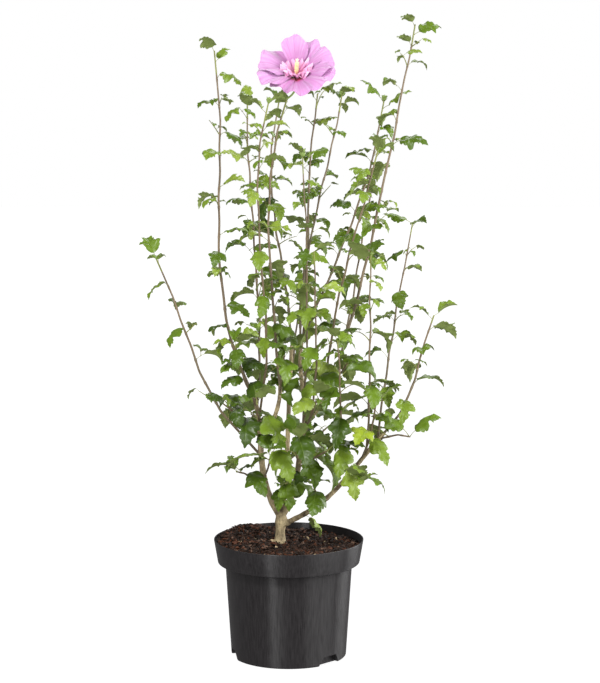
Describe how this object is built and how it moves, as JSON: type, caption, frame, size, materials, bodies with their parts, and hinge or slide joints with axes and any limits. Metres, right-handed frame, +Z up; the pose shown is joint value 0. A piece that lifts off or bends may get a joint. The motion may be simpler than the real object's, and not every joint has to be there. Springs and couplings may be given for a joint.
{
  "type": "potted rose of sharon shrub",
  "caption": "Young rose of sharon shrub with slender upright leafy stems and one open flower, in a round tapered nursery pot with a plain rim band.",
  "frame": {"origin": "centre of the pot's flat underside, on the surface that the pot stands on", "axes": "+Z up along the plant; +X towards the side of the long low stem; the flower looks along -Y"},
  "size_m": [0.4733, 0.3424, 0.9596],
  "materials": {
    "pot": "dark grey moulded polypropylene, satin with faint upright flow streaks",
    "compost": "moist composted bark, coarse and matt",
    "bark": "smooth young bark, greenish beige to grey brown",
    "foliage": "fresh green leaves on pale brown stems; the flower's petals are light lavender pink"
  },
  "bodies": {
    "root": {"pot": "pot", "compost": "compost", "trunk": "bark", "bough_left": "bark", "bough_right": "bark", "bough_centre": "bark", "bough_middle": "bark", "bough_inner": "bark", "bough_upright": "bark", "bough_slant": "bark", "stem_far_left": "foliage", "stem_left_tall": "foliage", "stem_left_back": "foliage", "stem_left_front": "foliage", "stem_flower": "foliage", "stem_middle_back": "foliage", "stem_middle_short": "foliage", "stem_upright": "foliage", "stem_upright_back": "foliage", "stem_bud": "foliage", "stem_front": "foliage", "stem_right_tall": "foliage", "stem_right_inner": "foliage", "stem_right_front": "foliage", "stem_right_slant": "foliage", "stem_low_right_front": "foliage", "stem_low_right_back": "foliage", "stem_low_right": "foliage", "stem_right_short": "foliage", "tuft_left_low": "foliage", "tuft_left": "foliage", "tuft_left_high": "foliage", "tuft_front_left": "foliage", "tuft_centre_low": "foliage", "tuft_front": "foliage", "tuft_front_low": "foliage", "tuft_front_right": "foliage", "tuft_middle": "foliage", "tuft_right_low": "foliage", "tuft_right": "foliage", "tuft_right_high": "foliage", "tuft_right_tip": "foliage", "tuft_foot": "foliage", "tuft_right_under": "foliage", "tuft_foot_right": "foliage", "tuft_back_left": "foliage", "tuft_back": "foliage", "tuft_back_right": "foliage"}
  },
  "joints": []
}
